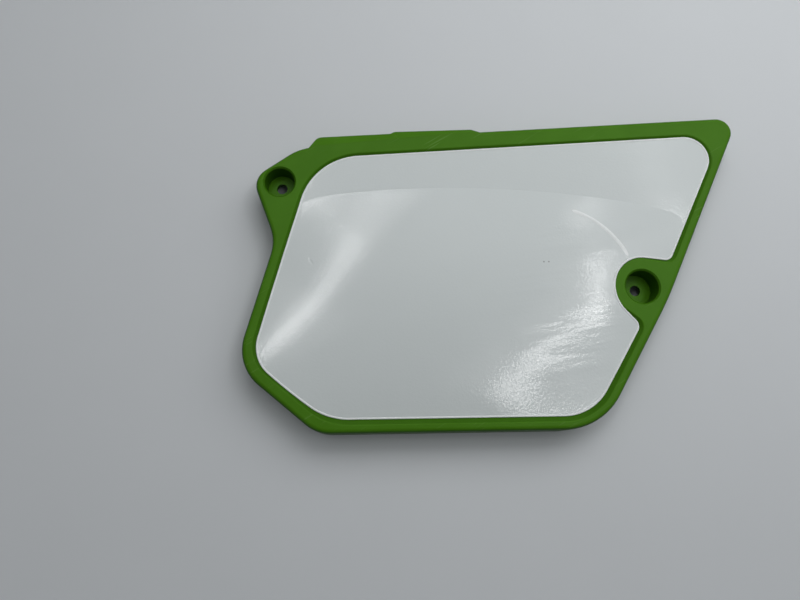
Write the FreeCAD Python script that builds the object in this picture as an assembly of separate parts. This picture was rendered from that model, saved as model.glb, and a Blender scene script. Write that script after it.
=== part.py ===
import FreeCAD, Part
import math
import os

from FreeCAD import Vector

# Side panel of a small off-road motorbike, with a vinyl number-plate decal on its face.
# The panel lies on its back: the face looks up along +Z, the front of the bike is towards -X, and the lower
# edge runs along X. The outline is drawn from the axis of the front screw. Millimetres throughout.

# Levels, from the plane of the back edge: seats of the screw cups, floor of a cup and depth of its recess
seat_level = 6.0
cup_floor = 3.0
recess_depth = 11.5
wall = 2.5
side_draft_deg = 2.0

# Corners of the outline, from the front screw, each with the radius that rounds it
bottom_front_x = 26.7
bottom_front_y = -149.2
bottom_front_radius = 22.0
bottom_rear_x = 188.1
bottom_rear_y = -146.5
bottom_rear_radius = 40.0
top_rear_x = 290.3
top_rear_y = 49.0
top_rear_radius = 9.0
lip_rear_x = 120.0
lip_rear_y = 35.7
lip_rear_radius = 100.0
lip_front_x = 11.1
lip_front_y = 22.9
lip_front_radius = 30.0
ear_x = -16.8
ear_y = 2.7
ear_radius = 12.0
neck_x = -1.3
neck_y = -36.8
neck_radius = 27.0
front_low_x = -20.7
front_low_y = -111.2
front_low_radius = 27.0

# Rear screw, and how far from it the rear edge passes, in which direction the edge is nearest
rear_screw_x = 217.5
rear_screw_y = -63.5
rear_edge_gap = 17.2
rear_edge_turn_deg = -23.6
rear_edge_radius = 200.0

# Rim round the face: width of its flat top, and its rounded outer edge
rim_top_width = 10.2
rim_rear_width = 5.0
rim_bottom_width = 4.5
rim_slant_width = 6.6
rim_front_width = 5.5
rim_round = 2.8
rim_crest_round = 1.2

# Bevelled recess of the face, shallow at the top and deeper at the bottom
face_depth_top = 1.2
face_depth_bottom = 2.8
bevel_slope_deg = 42.0
face_top_front_radius = 40.0
face_top_rear_radius = 16.0
face_bottom_rear_radius = 33.0
face_bottom_front_radius = 36.0
face_front_low_radius = 22.0

# Plateau round the rear screw, which the recess leaves standing
plateau_radius = 17.3
plateau_flare_deg = 14.0
plateau_foot_radius = 7.0

# Dome of the face below a flat strip along its top
dome_height = 6.5
dome_sink = 0.1
dome_overrun = 3.0
strip_front = 26.0
strip_rear = 52.0
strip_bow = 11.0

# Screw recesses, drafted, with a bevelled mouth and a hole for a 6 mm screw
front_recess_radius = 9.1
rear_recess_radius = 10.1
recess_draft_deg = 3.0
recess_mouth_bevel = 0.9
screw_hole_radius = 3.25

# Lip along the top edge, with a sloped upper face, leaning ends and a prouder pad over its rear half
lip_start = 6.4
lip_front_lean = 5.0
lip_rear_lean = 3.0
lip_length = 104.0
lip_pad_start = 50.5
lip_pad_ramp = 2.5
lip_reach_front = 7.2
lip_reach_middle = 4.6
lip_reach_pad = 6.0
lip_reach_rear = 1.8
lip_slope_deg = 24.0
lip_edge = 2.0
lip_corner_radius = 5.0
lip_pad_radius = 3.0
lip_edge_round = 0.8
lip_root = 6.0

# Vinyl decal in the recess
decal_thickness = 0.4
decal_gap = 0.4

# How far a cutting shape runs past what it cuts, and how near counts as touching when edges are picked
clear = 1.5
near = 0.01

# Worked out from the sizes above
rim_level = seat_level + cup_floor + recess_depth
bevel_run = 1.0 / math.tan(math.radians(bevel_slope_deg))
rear_turn = math.radians(rear_edge_turn_deg)
rear_edge_x = rear_screw_x + rear_edge_gap * math.cos(rear_turn)
rear_edge_y = rear_screw_y + rear_edge_gap * math.sin(rear_turn)


def point(x, y, z=0.0):
    return Vector(x, y, z)


def inward(start, end):
    """Unit normal on the left of a line, which is the inside of a counter-clockwise outline."""
    along = (end - start).normalize()
    return Vector(-along.y, along.x, 0)


def shifted(start, end, distance):
    """The line from start to end, moved inwards."""
    step = inward(start, end) * distance
    return start + step, end + step


def meet(first, second):
    """Where two lines in plan cross."""
    a, b = first
    c, d = second
    ab = b - a
    cd = d - c
    share = ((c.x - a.x) * cd.y - (c.y - a.y) * cd.x) / (ab.x * cd.y - ab.y * cd.x)
    return a + ab * share


def rounded_arcs(corners, level, inset):
    """Arcs of a counter-clockwise outline at a level, moved inwards: start, middle, end, centre and turn of each."""
    count = len(corners)
    sides = []
    for index in range(count):
        start = corners[index][0]
        end = corners[(index + 1) % count][0]
        sides.append(shifted(start, end, inset))
    lift = Vector(0, 0, level)
    arcs = []
    for index in range(count):
        before = sides[index - 1]
        after = sides[index]
        corner = meet(before, after) + lift
        into = (before[1] - before[0]).normalize()
        out = (after[1] - after[0]).normalize()
        turn = math.atan2(into.x * out.y - into.y * out.x, into.dot(out))
        radius = corners[index][1] - inset * math.copysign(1.0, turn)
        reach = radius * math.tan(abs(turn) / 2)
        towards_centre = (out - into).normalize()
        centre = corner + towards_centre * (radius / math.cos(turn / 2))
        middle = centre - towards_centre * radius
        arcs.append((corner - into * reach, middle, corner + out * reach, centre, turn))
    return arcs


def rounded_wire(corners, level, inset=0.0):
    """Closed wire through the rounded corners of an outline."""
    arcs = rounded_arcs(corners, level, inset)
    edges = []
    for index in range(len(arcs)):
        start, middle, end = arcs[index - 1][:3]
        edges.append(Part.Arc(start, middle, end).toShape())
        edges.append(Part.LineSegment(end, arcs[index][0]).toShape())
    return Part.Wire(edges)


def tapered(corners, low, low_inset, high, high_inset):
    """Solid between two levels, with flat sides and conical corners that taper from one inset to the other."""
    lower = rounded_arcs(corners, low, low_inset)
    upper = rounded_arcs(corners, high, high_inset)
    faces = [
        Part.Face(rounded_wire(corners, high, high_inset)),
        Part.Face(rounded_wire(corners, low, low_inset)),
    ]
    for index in range(len(corners)):
        start = Part.LineSegment(lower[index - 1][0], upper[index - 1][0]).toShape()
        centre, turn = lower[index - 1][3:]
        axis = Vector(0, 0, math.copysign(1.0, turn))
        faces.append(start.revolve(centre, axis, math.degrees(abs(turn))))
        side = [lower[index - 1][2], lower[index][0], upper[index][0], upper[index - 1][2]]
        faces.append(Part.Face(Part.makePolygon(side + side[:1])))
    skin = Part.Shell(faces)
    skin.sewShape()
    # The faces of the first solid look outwards, and the second is made from them with no turn left over
    outward = Part.Solid(skin).Faces
    return Part.Solid(Part.Shell(outward))


# Outline of the whole panel, counter-clockwise
bottom_front = point(bottom_front_x, bottom_front_y)
bottom_rear = point(bottom_rear_x, bottom_rear_y)
rear_edge = point(rear_edge_x, rear_edge_y)
top_rear = point(top_rear_x, top_rear_y)
lip_rear = point(lip_rear_x, lip_rear_y)
lip_front = point(lip_front_x, lip_front_y)
ear = point(ear_x, ear_y)
neck = point(neck_x, neck_y)
front_low = point(front_low_x, front_low_y)
outline = [
    (bottom_front, bottom_front_radius),
    (bottom_rear, bottom_rear_radius),
    (rear_edge, rear_edge_radius),
    (top_rear, top_rear_radius),
    (lip_rear, lip_rear_radius),
    (lip_front, lip_front_radius),
    (ear, ear_radius),
    (neck, neck_radius),
    (front_low, front_low_radius),
]

# Crest of the recess, where its bevel meets the flat rim
front_screw = point(0, 0)
rear_screw = point(rear_screw_x, rear_screw_y)
bottom_line = shifted(bottom_front, bottom_rear, rim_bottom_width)
rear_low_line = shifted(bottom_rear, rear_edge, rim_rear_width)
rear_high_line = shifted(rear_edge, top_rear, rim_rear_width)
top_line = shifted(top_rear, lip_rear, rim_top_width)
front_line = shifted(neck, front_low, rim_front_width)
slant_line = shifted(front_low, bottom_front, rim_slant_width)


def plateau_flank(side):
    """Side of the plateau, tangent to its round end and spreading towards the rear edge."""
    turn = rear_turn + side * math.radians(plateau_flare_deg)
    along = Vector(math.cos(turn), math.sin(turn), 0)
    across = Vector(-along.y, along.x, 0) * side
    start = rear_screw + across * plateau_radius
    return start, start + along


upper_flank = plateau_flank(1)
lower_flank = plateau_flank(-1)
crest = [
    (meet(slant_line, bottom_line), face_bottom_front_radius),
    (meet(bottom_line, rear_low_line), face_bottom_rear_radius),
    (meet(rear_low_line, lower_flank), plateau_foot_radius),
    (meet(lower_flank, upper_flank), plateau_radius),
    (meet(upper_flank, rear_high_line), plateau_foot_radius),
    (meet(rear_high_line, top_line), face_top_rear_radius),
    (meet(top_line, front_line), face_top_front_radius),
    (meet(front_line, slant_line), face_front_low_radius),
]


def face_level(y):
    """Height of the recessed face, which falls towards the bottom edge."""
    share = (y - bottom_front_y) / (top_rear_y - bottom_front_y)
    return rim_level - face_depth_bottom + (face_depth_bottom - face_depth_top) * share


def below_face(raised=0.0):
    """Everything under the plane of the recessed face, as a slab that reaches past the panel."""
    x_low = 2 * front_low_x
    x_high = top_rear_x - front_low_x
    y_low = 2 * bottom_front_y
    y_high = 3 * top_rear_y
    profile = [
        point(x_low, y_low, -rim_level),
        point(x_low, y_high, -rim_level),
        point(x_low, y_high, face_level(y_high) + raised),
        point(x_low, y_low, face_level(y_low) + raised),
    ]
    side = Part.Face(Part.makePolygon(profile + profile[:1]))
    return side.extrude(Vector(x_high - x_low, 0, 0))


def face_pocket(gap=0.0):
    """Space that the recess takes out of the rim: bevelled sides over the plane of the face."""
    depth = face_depth_bottom + clear
    mouth = gap - clear * bevel_run
    funnel = tapered(crest, rim_level - depth, gap + depth * bevel_run, rim_level + clear, mouth)
    above = Part.Face(rounded_wire(crest, rim_level + clear, mouth)).extrude(Vector(0, 0, dome_height))
    return funnel.fuse(above).cut(below_face())


def dome():
    """Bulge of the face: a patch with nine poles, eight of them sunk just under the plane of the face."""
    foot = face_depth_bottom * bevel_run
    front = shifted(*front_line, -dome_overrun)
    bottom = shifted(*bottom_line, foot)
    rear = shifted(meet(bottom_line, rear_low_line), meet(rear_high_line, top_line), -dome_overrun)
    upper = (
        meet(front, shifted(*top_line, strip_front)),
        meet(rear, shifted(*top_line, strip_rear)),
    )
    corners = [[meet(front, bottom), upper[0]], [meet(bottom, rear), upper[1]]]
    bow = Vector(0, 2 * strip_bow, 0)
    middle_front = (corners[0][0] + corners[0][1]) * 0.5
    middle_rear = (corners[1][0] + corners[1][1]) * 0.5
    middle_bottom = (corners[0][0] + corners[1][0]) * 0.5
    middle_upper = (corners[0][1] + corners[1][1]) * 0.5 + bow
    centre = (middle_bottom + middle_upper) * 0.5
    poles = [
        [corners[0][0], middle_front, corners[0][1]],
        [middle_bottom, centre, middle_upper],
        [corners[1][0], middle_rear, corners[1][1]],
    ]
    patch = Part.BezierSurface()
    patch.increase(2, 2)
    for row in range(3):
        for column in range(3):
            pole = poles[row][column]
            peak = 4 * (dome_height + dome_sink) if row == 1 and column == 1 else 0.0
            patch.setPole(row + 1, column + 1, point(pole.x, pole.y, face_level(pole.y) - dome_sink + peak))
    return patch.toShape().extrude(Vector(0, 0, -dome_height - wall))


def lip():
    """Tongue along the top edge that tucks in behind the seat, with a sloped upper face."""
    along = (lip_rear - lip_front).normalize()
    out = Vector(-along.y, along.x, 0)
    slope = math.tan(math.radians(lip_slope_deg))
    underside = rim_level - lip_reach_front * slope - lip_edge
    start = lip_front + along * lip_start

    def spot(distance, reach, level=0.0):
        return start + along * distance + out * reach + Vector(0, 0, level)

    front_lean = lip_front_lean / lip_reach_front
    rear_lean = lip_rear_lean / lip_reach_rear
    plan = [
        (spot(-lip_root * front_lean, -lip_root), lip_edge),
        (spot(lip_length + lip_root * rear_lean, -lip_root), lip_edge),
        (spot(lip_length - lip_rear_lean, lip_reach_rear), lip_edge),
        (spot(lip_pad_start + lip_pad_ramp, lip_reach_pad), lip_pad_radius),
        (spot(lip_pad_start, lip_reach_middle), lip_pad_radius),
        (spot(lip_front_lean, lip_reach_front), lip_corner_radius),
    ]
    tongue = tapered(plan, underside, 0, rim_level, 0)
    far = 2 * lip_reach_front
    above = [
        spot(-far, 0, rim_level),
        spot(-far, far, rim_level - far * slope),
        spot(-far, far, rim_level + far),
        spot(-far, 0, rim_level + far),
    ]
    removed = Part.Face(Part.makePolygon(above + above[:1])).extrude(along * (lip_length + 2 * far))
    tongue = tongue.cut(removed)
    rounded = []
    for edge in tongue.Edges:
        middle = edge.CenterOfMass
        reach = (middle - start).dot(out)
        if reach > near and abs(middle.z - rim_level + reach * slope) < near:
            rounded.append(edge)
    return tongue.makeFillet(lip_edge_round, rounded)


def screw_recess(centre, radius):
    """Space that a screw recess takes: a drafted cup, and the hole in its floor."""
    taper = math.tan(math.radians(recess_draft_deg))
    floor_radius = radius - recess_depth * taper
    top_radius = radius + wall * taper
    cup = Part.makeCone(floor_radius, top_radius, recess_depth + wall, point(0, 0, seat_level + cup_floor))
    hole = Part.makeCylinder(screw_hole_radius, 2 * cup_floor, point(0, 0, seat_level - cup_floor / 2))
    return cup.fuse(hole).translated(centre)


def screw_cup(centre, radius):
    """Solid stock of a screw cup, from its seat to the underside of the rim."""
    seat = centre + Vector(0, 0, seat_level)
    return Part.makeCylinder(radius + wall, rim_level - wall - seat_level, seat)


# Moulded shell: drafted block, bevelled recess, dome, then the hollow of its back
side_run = math.tan(math.radians(side_draft_deg))
block = tapered(outline, 0, -rim_level * side_run, rim_level, 0)
top_edges = [edge for edge in block.Edges if edge.BoundBox.ZMin > rim_level - near]
block = block.makeFillet(rim_round, top_edges)

pocket = face_pocket()
bulge = dome().common(pocket)
shell = block.cut(pocket)
crest_wire = rounded_wire(crest, rim_level)
crest_edges = []
for edge in shell.Edges:
    middle = edge.valueAt((edge.FirstParameter + edge.LastParameter) / 2)
    if Part.Vertex(middle).distToShape(crest_wire)[0] < near:
        crest_edges.append(edge)
shell = shell.makeFillet(rim_crest_round, crest_edges).fuse([bulge, lip()])

lowered = Vector(0, 0, -wall)
hollow = tapered(outline, -clear, wall - (rim_level + clear) * side_run, rim_level - wall, wall * (1 - side_run))
hollow = hollow.cut(pocket.translated(lowered)).fuse(bulge.translated(lowered))
shell = shell.cut(hollow)
screws = [(front_screw, front_recess_radius), (rear_screw, rear_recess_radius)]
cups = [screw_cup(centre, radius) for centre, radius in screws]
recesses = [screw_recess(centre, radius) for centre, radius in screws]
shell = shell.fuse(cups).cut(recesses).removeSplitter()
mouths = []
for edge in shell.Edges:
    if isinstance(edge.Curve, Part.Circle):
        for centre, radius in screws:
            offset = edge.Curve.Center.distanceToPoint(centre + Vector(0, 0, rim_level))
            if offset < near and abs(edge.Curve.Radius - radius) < near:
                mouths.append(edge)
shell = shell.makeChamfer(recess_mouth_bevel, mouths)

# Vinyl decal: a sheet of even thickness over the flat strip and the dome, just clear of the bevel
sheet = below_face(decal_thickness).fuse(dome().translated(Vector(0, 0, decal_thickness)))
decal = sheet.common(face_pocket(decal_gap).cut(dome())).removeSplitter()

# The origin is under the middle of the panel's box, on the plane that it rests on
middle = shell.optimalBoundingBox(False, False).Center
to_origin = Vector(-middle.x, -middle.y, 0)
os.makedirs("parts", exist_ok=True)
shell.translated(to_origin).exportStep("parts/panel_shell.step")
decal.translated(to_origin).exportStep("parts/number_plate_decal.step")
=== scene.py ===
import math

import bmesh
import bpy
from mathutils import Matrix, Vector
from mathutils.bvhtree import BVHTree


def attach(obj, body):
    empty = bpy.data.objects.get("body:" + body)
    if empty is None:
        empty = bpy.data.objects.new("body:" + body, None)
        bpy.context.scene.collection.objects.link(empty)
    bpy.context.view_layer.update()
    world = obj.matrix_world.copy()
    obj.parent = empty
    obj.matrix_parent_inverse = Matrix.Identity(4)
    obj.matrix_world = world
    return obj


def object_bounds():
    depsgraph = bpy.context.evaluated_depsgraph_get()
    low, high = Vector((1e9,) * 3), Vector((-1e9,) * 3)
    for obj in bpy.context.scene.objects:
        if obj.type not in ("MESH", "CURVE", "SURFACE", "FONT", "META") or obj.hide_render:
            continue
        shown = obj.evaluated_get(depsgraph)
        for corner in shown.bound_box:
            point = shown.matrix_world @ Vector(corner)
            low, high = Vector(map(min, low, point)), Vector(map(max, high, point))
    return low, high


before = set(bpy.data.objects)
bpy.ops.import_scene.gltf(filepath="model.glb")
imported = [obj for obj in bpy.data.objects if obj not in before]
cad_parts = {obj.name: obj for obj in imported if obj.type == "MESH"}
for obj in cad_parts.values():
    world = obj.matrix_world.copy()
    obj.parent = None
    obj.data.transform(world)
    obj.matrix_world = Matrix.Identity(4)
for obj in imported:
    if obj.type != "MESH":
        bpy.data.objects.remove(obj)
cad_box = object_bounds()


# Panel shell
# One injection moulding of green polypropylene: rim, domed face, screw cups and top lip are a single piece.
# It leaves a smooth mould, so it is satin and even, with faint flow marks and fine rubs from handling.

MM = 0.001


def linear(code):
    """Linear colour of an sRGB hex code."""
    channels = [int(code[place:place + 2], 16) / 255 for place in (1, 3, 5)]
    return [c / 12.92 if c <= 0.04045 else ((c + 0.055) / 1.055) ** 2.4 for c in channels] + [1.0]


def add_node(tree, kind, sockets=None, **settings):
    """Adds a node with its settings. Each of its sockets gets a value or another node's output."""
    node = tree.nodes.new(kind)
    for name, value in settings.items():
        setattr(node, name, value)
    for name, value in (sockets or {}).items():
        if isinstance(value, bpy.types.NodeSocket):
            tree.links.new(value, node.inputs[name])
        else:
            node.inputs[name].default_value = value
    return node


# A Mix node has its two colours at these inputs and the mixed one at this output
COLOUR_A, COLOUR_B, MIXED = 6, 7, 2

shell_green = "#43750C"
shell_flow_green = "#477A12"
shell_rub_green = "#7FA45C"
# Painted shade: a deeper green laid on sloping faces
shell_painted_shade_green = "#1E4404"
flow_mark = 24 * MM
rub_length = 26 * MM
rub_width = 1.1 * MM
rub_turn = math.radians(32)
rub_strength = 0.25
rub_dulling = 0.3
# Painted shade on sloping faces: the slope where it begins, where it is full, and how strong it is
shade_start_slope = 0.88
shade_full_slope = 0.6
shade_strength = 0.7
grain = 0.9 * MM
grain_depth = 0.02 * MM

polypropylene = bpy.data.materials.new("moulded_polypropylene")
polypropylene.use_nodes = True
tree = polypropylene.node_tree
tree.nodes.clear()
coordinates = add_node(tree, "ShaderNodeTexCoord")
place = coordinates.outputs["Object"]

# Flow marks: soft clouds where the melt ran, in colour and gloss
flow = add_node(
    tree, "ShaderNodeTexNoise", {"Vector": place, "Scale": 1 / flow_mark, "Detail": 3.0, "Roughness": 0.55}
)
flow_share = add_node(
    tree, "ShaderNodeMapRange", {"Value": flow.outputs["Fac"], "From Min": 0.35, "From Max": 0.65}
).outputs["Result"]
flowed = add_node(
    tree,
    "ShaderNodeMix",
    {"Factor": flow_share, COLOUR_A: linear(shell_green), COLOUR_B: linear(shell_flow_green)},
    data_type="RGBA",
).outputs[MIXED]

# Rubs: short fine streaks, paler and duller than the skin round them
streak_place = add_node(
    tree,
    "ShaderNodeMapping",
    {"Vector": place, "Rotation": (0, 0, rub_turn), "Scale": (rub_length, rub_width, rub_width)},
    vector_type="TEXTURE",
).outputs["Vector"]
streak = add_node(tree, "ShaderNodeTexNoise", {"Vector": streak_place, "Scale": 1.0, "Detail": 1.0})
rub_share = add_node(
    tree,
    "ShaderNodeMapRange",
    {"Value": streak.outputs["Fac"], "From Min": 0.68, "From Max": 0.80, "To Max": rub_strength},
).outputs["Result"]
skin = add_node(
    tree,
    "ShaderNodeMix",
    {"Factor": rub_share, COLOUR_A: flowed, COLOUR_B: linear(shell_rub_green)},
    data_type="RGBA",
).outputs[MIXED]

# Painted shade: what slopes (bevel, side wall and cups) is painted a deeper green than the rim, for the
# shade that falls there
facing = add_node(tree, "ShaderNodeSeparateXYZ", {"Vector": coordinates.outputs["Normal"]}).outputs["Z"]
painted_shade_share = add_node(
    tree,
    "ShaderNodeMapRange",
    {"Value": facing, "From Min": shade_start_slope, "From Max": shade_full_slope, "To Max": shade_strength},
).outputs["Result"]
skin = add_node(
    tree,
    "ShaderNodeMix",
    {"Factor": painted_shade_share, COLOUR_A: skin, COLOUR_B: linear(shell_painted_shade_green)},
    data_type="RGBA",
).outputs[MIXED]

# Gloss: satin, a little duller along the flow marks and where it is rubbed
dull = add_node(
    tree, "ShaderNodeMapRange", {"Value": flow.outputs["Fac"], "To Min": 0.36, "To Max": 0.48}
).outputs["Result"]
dull_rubbed = add_node(
    tree, "ShaderNodeMath", {0: rub_share, 1: rub_dulling, 2: dull}, operation="MULTIPLY_ADD"
).outputs[0]

# Grain of the mould: finer than a pixel on the real panel, drawn coarser so that it breaks up the highlights
grain_height = add_node(tree, "ShaderNodeTexNoise", {"Vector": place, "Scale": 1 / grain, "Detail": 2.0})
grain_bump = add_node(
    tree,
    "ShaderNodeBump",
    {"Height": grain_height.outputs["Fac"], "Strength": 0.25, "Distance": grain_depth},
).outputs["Normal"]
plastic = add_node(
    tree,
    "ShaderNodeBsdfPrincipled",
    {
        "Base Color": skin,
        "Roughness": dull_rubbed,
        "IOR": 1.49,
        "Specular IOR Level": 0.14,
        "Normal": grain_bump,
    },
)
add_node(tree, "ShaderNodeOutputMaterial", {"Surface": plastic.outputs["BSDF"]})

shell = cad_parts["panel_shell"]
shell.data.materials.clear()
shell.data.materials.append(polypropylene)


# Number plate decal
# A sheet of white vinyl under a clear gloss laminate, cut to the recess and stuck over the dome by hand.
# It shows an orange-peel gloss and ripples where it was stretched round the rear screw.

vinyl_white = "#D6DDDD"
vinyl_shade = "#D2D9D9"
speck_grey = "#4A4F4F"
ink_cloud = 40 * MM
peel_size = 1.4 * MM
ripple_length = 45 * MM
ripple_width = 7 * MM
ripple_turn = math.radians(9)
ripple_middle = (38 * MM, -26 * MM, 0)
ripple_reach = (48 * MM, 66 * MM, 1.0)
dent_middle = (-113.1 * MM, 0.6 * MM, 0)
dent_turn = math.radians(-59)
dent_reach = (3.4 * MM, 1.1 * MM, 1.0)
specks = [(27.3 * MM, 0.9 * MM, 0), (24.3 * MM, 0.8 * MM, 0)]
speck_radius = 0.6 * MM
speck_core = 0.4 * speck_radius
speck_strength = 0.7
# Heights of the relief, in millimetres
peel_height = 0.045
ripple_height = 0.2
dent_height = -0.12

vinyl = bpy.data.materials.new("laminated_vinyl")
vinyl.use_nodes = True
tree = vinyl.node_tree
tree.nodes.clear()
place = add_node(tree, "ShaderNodeTexCoord").outputs["Object"]
flat_place = add_node(
    tree, "ShaderNodeVectorMath", {0: place, 1: (1, 1, 0)}, operation="MULTIPLY"
).outputs["Vector"]

# White of the sheet: faint clouds in the ink, and two dark specks of dirt under the laminate
cloud = add_node(tree, "ShaderNodeTexNoise", {"Vector": place, "Scale": 1 / ink_cloud, "Detail": 2.0})
face_white = add_node(
    tree,
    "ShaderNodeMix",
    {"Factor": cloud.outputs["Fac"], COLOUR_A: linear(vinyl_white), COLOUR_B: linear(vinyl_shade)},
    data_type="RGBA",
).outputs[MIXED]
for speck in specks:
    distance = add_node(
        tree, "ShaderNodeVectorMath", {0: flat_place, 1: speck}, operation="DISTANCE"
    ).outputs["Value"]
    spot = add_node(
        tree,
        "ShaderNodeMapRange",
        {"Value": distance, "From Min": speck_radius, "From Max": speck_core, "To Max": speck_strength},
    ).outputs["Result"]
    face_white = add_node(
        tree,
        "ShaderNodeMix",
        {"Factor": spot, COLOUR_A: face_white, COLOUR_B: linear(speck_grey)},
        data_type="RGBA",
    ).outputs[MIXED]

# Orange peel of the laminate: fine waves that break the edges of a highlight into sparks
peel = add_node(tree, "ShaderNodeTexNoise", {"Vector": place, "Scale": 1 / peel_size, "Detail": 2.0})
height = add_node(
    tree, "ShaderNodeMath", {0: peel.outputs["Fac"], 1: peel_height}, operation="MULTIPLY"
).outputs[0]

# Ripples: long shallow waves across the rear of the dome, where the sheet was pulled round the screw
ripple_place = add_node(
    tree,
    "ShaderNodeMapping",
    {
        "Vector": place,
        "Rotation": (0, 0, ripple_turn),
        "Scale": (ripple_length, ripple_width, ripple_width),
    },
    vector_type="TEXTURE",
).outputs["Vector"]
ripple = add_node(tree, "ShaderNodeTexNoise", {"Vector": ripple_place, "Scale": 1.0, "Detail": 1.5})
ripple_spread = add_node(
    tree,
    "ShaderNodeMapping",
    {"Vector": flat_place, "Location": ripple_middle, "Scale": ripple_reach},
    vector_type="TEXTURE",
).outputs["Vector"]
ripple_distance = add_node(
    tree, "ShaderNodeVectorMath", {0: ripple_spread}, operation="LENGTH"
).outputs["Value"]
ripple_share = add_node(
    tree,
    "ShaderNodeMapRange",
    {"Value": ripple_distance, "From Min": 1.0, "From Max": 0.45, "To Max": ripple_height},
    interpolation_type="SMOOTHSTEP",
).outputs["Result"]
height = add_node(
    tree, "ShaderNodeMath", {0: ripple.outputs["Fac"], 1: ripple_share, 2: height}, operation="MULTIPLY_ADD"
).outputs[0]

# Dent: a short nick near the front edge
dent_place = add_node(
    tree,
    "ShaderNodeMapping",
    {"Vector": flat_place, "Location": dent_middle, "Rotation": (0, 0, dent_turn), "Scale": dent_reach},
    vector_type="TEXTURE",
).outputs["Vector"]
dent_distance = add_node(tree, "ShaderNodeVectorMath", {0: dent_place}, operation="LENGTH").outputs["Value"]
dent = add_node(
    tree,
    "ShaderNodeMapRange",
    {"Value": dent_distance, "From Min": 1.0, "From Max": 0.0, "To Max": dent_height},
    interpolation_type="SMOOTHSTEP",
).outputs["Result"]
height = add_node(tree, "ShaderNodeMath", {0: height, 1: dent}, operation="ADD").outputs[0]

# Laminate: clear and glossy over the white, so it mirrors the lamps while the white below stays soft
relief = add_node(tree, "ShaderNodeBump", {"Height": height, "Distance": MM}).outputs["Normal"]
laminate = add_node(
    tree,
    "ShaderNodeBsdfPrincipled",
    {
        "Base Color": face_white,
        "Roughness": 0.3,
        "IOR": 1.5,
        "Specular IOR Level": 0.25,
        "Coat Weight": 1.0,
        "Coat Roughness": 0.045,
        "Coat IOR": 1.5,
        "Normal": relief,
        "Coat Normal": relief,
    },
)
add_node(tree, "ShaderNodeOutputMaterial", {"Surface": laminate.outputs["BSDF"]})

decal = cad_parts["number_plate_decal"]
decal.data.materials.clear()
decal.data.materials.append(vinyl)


# Decal edge
# The cut edge of the vinyl sheet, which stands up as a fine bead all round, at the foot of the bevel.
# It is pulled thin and white there, and glossy enough to hold a bright line; its white is partly stretch
# whitening and partly a painted highlight.

# Edge white: partly the vinyl's own stretch whitening, partly a painted highlight
edge_white_and_highlight = "#F6F9F9"
edge_shade = "#E2E8E8"
pull_length = 6 * MM
# Bead across the edge: millimetres in from the cut, and up from the sheet
bead_profile = [(0, 0), (0.1, 0.24), (0.5, 0.34), (0.9, 0.24), (1.2, -0.02)]
joint_reach = 0.01 * MM
top_slope = 0.5


def on_top(face):
    """Whether a face is on the upper side of the sheet."""
    return face.normal.z > top_slope


def ribbon_mesh(ribbon, name):
    """Mesh of a ribbon on the sheet, smooth and with its faces turned up."""
    for face in ribbon.faces:
        face.smooth = True
    bmesh.ops.recalc_face_normals(ribbon, faces=ribbon.faces)
    if sum(face.normal.z for face in ribbon.faces) < 0:
        bmesh.ops.reverse_faces(ribbon, faces=ribbon.faces)
    mesh = bpy.data.meshes.new(name)
    ribbon.to_mesh(mesh)
    ribbon.free()
    return mesh


bead = bmesh.new()
bead.from_mesh(decal.data)
inwards = bead.verts.layers.float_vector.new("inwards")
bmesh.ops.remove_doubles(bead, verts=bead.verts, dist=joint_reach)
bead.normal_update()
decal_top = BVHTree.FromBMesh(bead)
decal_faces = list(bead.faces)
cut = [
    edge for edge in bead.edges
    if len(edge.link_faces) == 2 and on_top(edge.link_faces[0]) != on_top(edge.link_faces[1])
]

# Each corner of the cut edge gets the slope of the sheet there, square to the edge and towards the sheet
across = {}
for edge in cut:
    sheet = next(face for face in edge.link_faces if on_top(face))
    along = (edge.verts[1].co - edge.verts[0].co).to_2d().normalized()
    square = Vector((-along.y, along.x))
    if square.dot((sheet.calc_center_median() - edge.verts[0].co).to_2d()) < 0:
        square.negate()
    for vert in edge.verts:
        across.setdefault(vert, []).append(square)
for vert, squares in across.items():
    mitre = sum(squares, Vector((0, 0)))
    mitre *= 2 / mitre.length_squared
    tilt = sum((face.normal for face in vert.link_faces if on_top(face)), Vector())
    vert[inwards] = (mitre.x, mitre.y, -(tilt.x * mitre.x + tilt.y * mitre.y) / tilt.z)

# The edge is extruded along the bead's profile, and the sheet that it was copied from is taken away
for (reach, rise), (next_reach, next_rise) in zip(bead_profile, bead_profile[1:]):
    grown = bmesh.ops.extrude_edge_only(bead, edges=cut)["geom"]
    for vert in [piece for piece in grown if isinstance(piece, bmesh.types.BMVert)]:
        vert.co += vert[inwards] * (next_reach - reach) * MM + Vector((0, 0, next_rise - rise)) * MM
    cut = [piece for piece in grown if isinstance(piece, bmesh.types.BMEdge)]
bmesh.ops.delete(bead, geom=decal_faces, context="FACES")
bead.verts.layers.float_vector.remove(inwards)
bead_mesh = ribbon_mesh(bead, "decal_edge")

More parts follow.
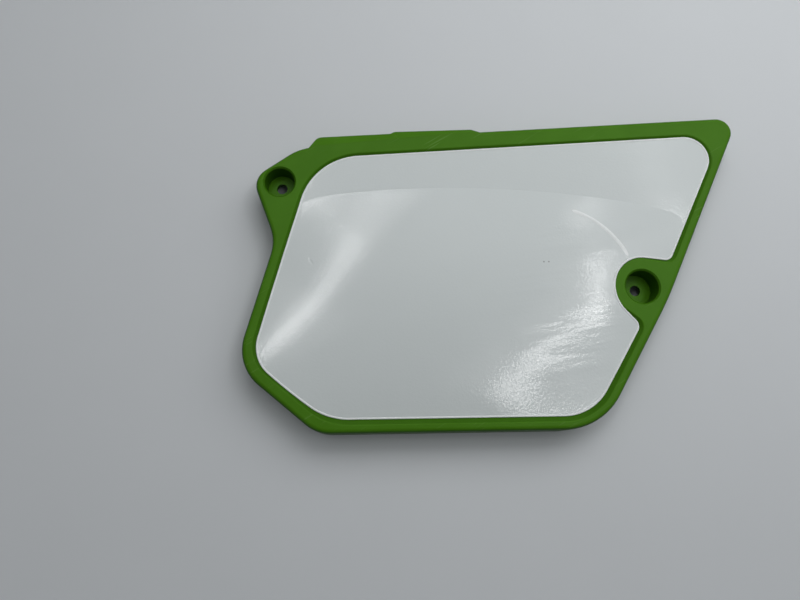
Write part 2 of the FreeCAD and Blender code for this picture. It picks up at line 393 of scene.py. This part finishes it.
# Stretched vinyl: whiter than the sheet, partly from the stretch and partly as a painted highlight, and
# uneven in gloss, so the bright line along it comes and goes
stretch_and_highlight = bpy.data.materials.new("stretched_vinyl_and_highlight")
stretch_and_highlight.use_nodes = True
tree = stretch_and_highlight.node_tree
tree.nodes.clear()
place = add_node(tree, "ShaderNodeTexCoord").outputs["Object"]
pull = add_node(tree, "ShaderNodeTexNoise", {"Vector": place, "Scale": 1 / pull_length, "Detail": 2.0})
pulled_white_and_highlight = add_node(
    tree,
    "ShaderNodeMix",
    {"Factor": pull.outputs["Fac"], COLOUR_A: linear(edge_white_and_highlight), COLOUR_B: linear(edge_shade)},
    data_type="RGBA",
).outputs[MIXED]
pulled_dull = add_node(
    tree, "ShaderNodeMapRange", {"Value": pull.outputs["Fac"], "To Min": 0.15, "To Max": 0.4}
).outputs["Result"]
cut_edge = add_node(
    tree,
    "ShaderNodeBsdfPrincipled",
    {
        "Base Color": pulled_white_and_highlight,
        "Roughness": pulled_dull,
        "IOR": 1.5,
        "Coat Weight": 0.5,
        "Coat Roughness": 0.1,
    },
)
add_node(tree, "ShaderNodeOutputMaterial", {"Surface": cut_edge.outputs["BSDF"]})
bead_mesh.materials.append(stretch_and_highlight)

decal_edge = bpy.data.objects.new("decal_edge", bead_mesh)
bpy.context.scene.collection.objects.link(decal_edge)
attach(decal_edge, "root")


# Decal crease
# A fold pressed into the vinyl sheet as it was stuck on, on an arc above the rear screw.
# The vinyl stands up there as a fine ridge, which fades out at both ends and is whitened by the bend, partly
# as a painted highlight.

fold_middle = Vector((25.2, -19.1, 0)) * MM
fold_radius = 56.9 * MM
fold_start = math.radians(71)
fold_end = math.radians(25.5)
fold_steps = 72
fold_fade = 0.16
fold_sink = 0.02 * MM
ray_start = 1.0
# Ridge across the fold: millimetres to either side, and up from the sheet
fold_profile = [(-1.3, 0), (-0.7, 0.12), (0, 0.3), (0.7, 0.12), (1.3, 0)]

crease = bmesh.new()
outwards = Vector((math.cos(fold_start), math.sin(fold_start), 0))
section = []
for reach, rise in fold_profile:
    spot = fold_middle + outwards * (fold_radius + reach * MM)
    section.append(crease.verts.new((spot.x, spot.y, rise * MM)))
for vert, following in zip(section, section[1:]):
    crease.edges.new((vert, following))
bmesh.ops.spin(
    crease,
    geom=crease.verts[:] + crease.edges[:],
    cent=fold_middle,
    axis=(0, 0, 1),
    angle=fold_end - fold_start,
    steps=fold_steps,
)

# The ridge is laid on the sheet and fades out at both ends
for vert in crease.verts:
    spoke = vert.co - fold_middle
    share = (math.atan2(spoke.y, spoke.x) - fold_start) / (fold_end - fold_start)
    fade = max(0.0, min(1.0, share / fold_fade, (1 - share) / fold_fade))
    level = decal_top.ray_cast(Vector((vert.co.x, vert.co.y, ray_start)), Vector((0, 0, -1)))[0].z
    vert.co.z = level + vert.co.z * fade - fold_sink
crease_mesh = ribbon_mesh(crease, "decal_crease")
# The ridge takes the edge white, which is partly stretch whitening and partly a painted highlight
crease_mesh.materials.append(stretch_and_highlight)

decal_crease = bpy.data.objects.new("decal_crease", crease_mesh)
bpy.context.scene.collection.objects.link(decal_crease)
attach(decal_crease, "root")


# Table
# A table top under the panel, of white laminate pressed with a matt face.
# It is plain and even, with faint clouds, and takes soft shadows.

table_white = "#D3D7DA"
table_shade = "#D0D4D7"
table_cloud = 60 * MM
table_reach = 2.0
table_gap = 0.1 * MM

table_mesh = bpy.data.meshes.new("table")
table_top = bmesh.new()
bmesh.ops.create_grid(table_top, x_segments=1, y_segments=1, size=table_reach)
bmesh.ops.translate(table_top, verts=table_top.verts, vec=(0, 0, cad_box[0][2] - table_gap))
table_top.to_mesh(table_mesh)
table_top.free()
table = bpy.data.objects.new("table", table_mesh)
bpy.context.scene.collection.objects.link(table)

laminate_top = bpy.data.materials.new("matt_laminate")
laminate_top.use_nodes = True
tree = laminate_top.node_tree
tree.nodes.clear()
place = add_node(tree, "ShaderNodeTexCoord").outputs["Object"]
cloud = add_node(tree, "ShaderNodeTexNoise", {"Vector": place, "Scale": 1 / table_cloud, "Detail": 3.0})
top_white = add_node(
    tree,
    "ShaderNodeMix",
    {"Factor": cloud.outputs["Fac"], COLOUR_A: linear(table_white), COLOUR_B: linear(table_shade)},
    data_type="RGBA",
).outputs[MIXED]
top = add_node(
    tree, "ShaderNodeBsdfPrincipled", {"Base Color": top_white, "Roughness": 0.6, "Specular IOR Level": 0.2}
)
add_node(tree, "ShaderNodeOutputMaterial", {"Surface": top.outputs["BSDF"]})
table_mesh.materials.append(laminate_top)


# Lamps
# Strip lamps high over both sides, each in a soft haze, which make the bright bands on the dome.
# A wide soft box over the top edge gives most of the light and is kept out of reflections.

# Power that gives an area lamp of one square metre a radiance of one
LAMP_POWER = 4
spread_width = 3
glow_width = 6
glow_share = 0.5
room_white = "#F4F6F8"
room_bright_side = (0.3, 0.85, 0.4)
room_dim = 0.14
room_bright = 0.2
room_seen = 0.5

scene = bpy.context.scene
scene.view_settings.view_transform = "Standard"


def area_lamp(name, start, end, width, radiance):
    """Area lamp whose long side runs from start to end, turned to face the panel."""
    middle = (Vector(start) + Vector(end)) / 2
    side = Vector(end) - Vector(start)
    data = bpy.data.lights.new(name, "AREA")
    data.shape = "RECTANGLE"
    data.size = side.length
    data.size_y = width
    data.energy = LAMP_POWER * radiance * side.length * width
    back = middle.normalized()
    side = (side - back * side.dot(back)).normalized()
    lamp = bpy.data.objects.new(name, data)
    turn = Matrix((side, back.cross(side), back)).transposed()
    lamp.matrix_world = Matrix.Translation(middle) @ turn.to_4x4()
    lamp.visible_camera = False
    scene.collection.objects.link(lamp)
    return lamp


# Each strip: its ends, the width and radiance of its core, and the share of that radiance in its haze
strips = [
    ("left_top", (0.02, 2.20, 2.5), (-0.47, 1.28, 2.5), 0.035, 8.0, 0.03),
    ("left_middle", (-0.47, 1.28, 2.5), (-0.80, 0.62, 2.5), 0.07, 7.5, 0.06),
    ("left_low", (-0.80, 0.62, 2.5), (-1.08, 0.24, 2.5), 0.13, 6.5, 0.14),
    ("right_top", (1.22, 1.90, 2.5), (1.25, 1.42, 2.5), 0.02, 10.0, 0.1),
    ("right_upper", (1.29, 1.42, 2.5), (1.36, 0.93, 2.5), 0.10, 1.0, 0.1),
    ("right_middle", (1.37, 0.93, 2.5), (1.46, 0.25, 2.5), 0.12, 5.5, 0.1),
    ("right_low", (1.46, 0.25, 2.5), (0.90, -0.20, 2.5), 0.14, 5.5, 0.1),
    ("right_end", (0.90, -0.20, 2.5), (0.58, -0.72, 2.5), 0.11, 5.5, 0.1),
]
for name, start, end, width, radiance, haze in strips:
    area_lamp(name + "_core", start, end, width, radiance)
    area_lamp(name + "_spread", start, end, spread_width * width, haze * radiance)
    area_lamp(name + "_glow", start, end, glow_width * width, glow_share * haze * radiance)
soft_box = area_lamp("soft_box", (-0.25, 0.34, 0.5), (0.65, 0.34, 0.5), 0.4, 1.6)
soft_box.visible_glossy = False

# The room is brighter on the side of the soft box, so the light falls off towards the lower front corner
room = bpy.data.worlds.new("room")
room.use_nodes = True
tree = room.node_tree
tree.nodes.clear()
look = add_node(tree, "ShaderNodeTexCoord").outputs["Generated"]
side = add_node(
    tree, "ShaderNodeVectorMath", {0: look, 1: room_bright_side}, operation="DOT_PRODUCT"
).outputs["Value"]
bright = add_node(
    tree,
    "ShaderNodeMapRange",
    {"Value": side, "From Min": -0.6, "From Max": 0.8, "To Min": room_dim, "To Max": room_bright},
).outputs["Result"]
seen = add_node(tree, "ShaderNodeLightPath").outputs["Is Camera Ray"]
shown = add_node(tree, "ShaderNodeMix", {"Factor": seen, "A": bright, "B": room_seen}).outputs["Result"]
air = add_node(tree, "ShaderNodeBackground", {"Color": linear(room_white), "Strength": shown})
add_node(tree, "ShaderNodeOutputWorld", {"Surface": air.outputs["Background"]})
scene.world = room


# Camera
# A wide lens, held close over the lower edge of the panel, towards its front.
# It is tilted a little towards the top edge and takes in the whole panel with some table round it.

sensor_width_mm = 36.0
lens_mm = 27.0
view_place = (-72.25 * MM, -99.07 * MM, 361.5 * MM)
view_right = Vector((0.9994, 0.0, 0.0341))
view_up = Vector((-0.0075, 0.9756, 0.2194))

camera_data = bpy.data.cameras.new("camera")
camera_data.sensor_width = sensor_width_mm
camera_data.lens = lens_mm
camera = bpy.data.objects.new("camera", camera_data)
view_turn = Matrix((view_right, view_up, view_right.cross(view_up))).transposed()
camera.matrix_world = Matrix.Translation(view_place) @ view_turn.to_4x4()
scene.collection.objects.link(camera)
scene.camera = camera
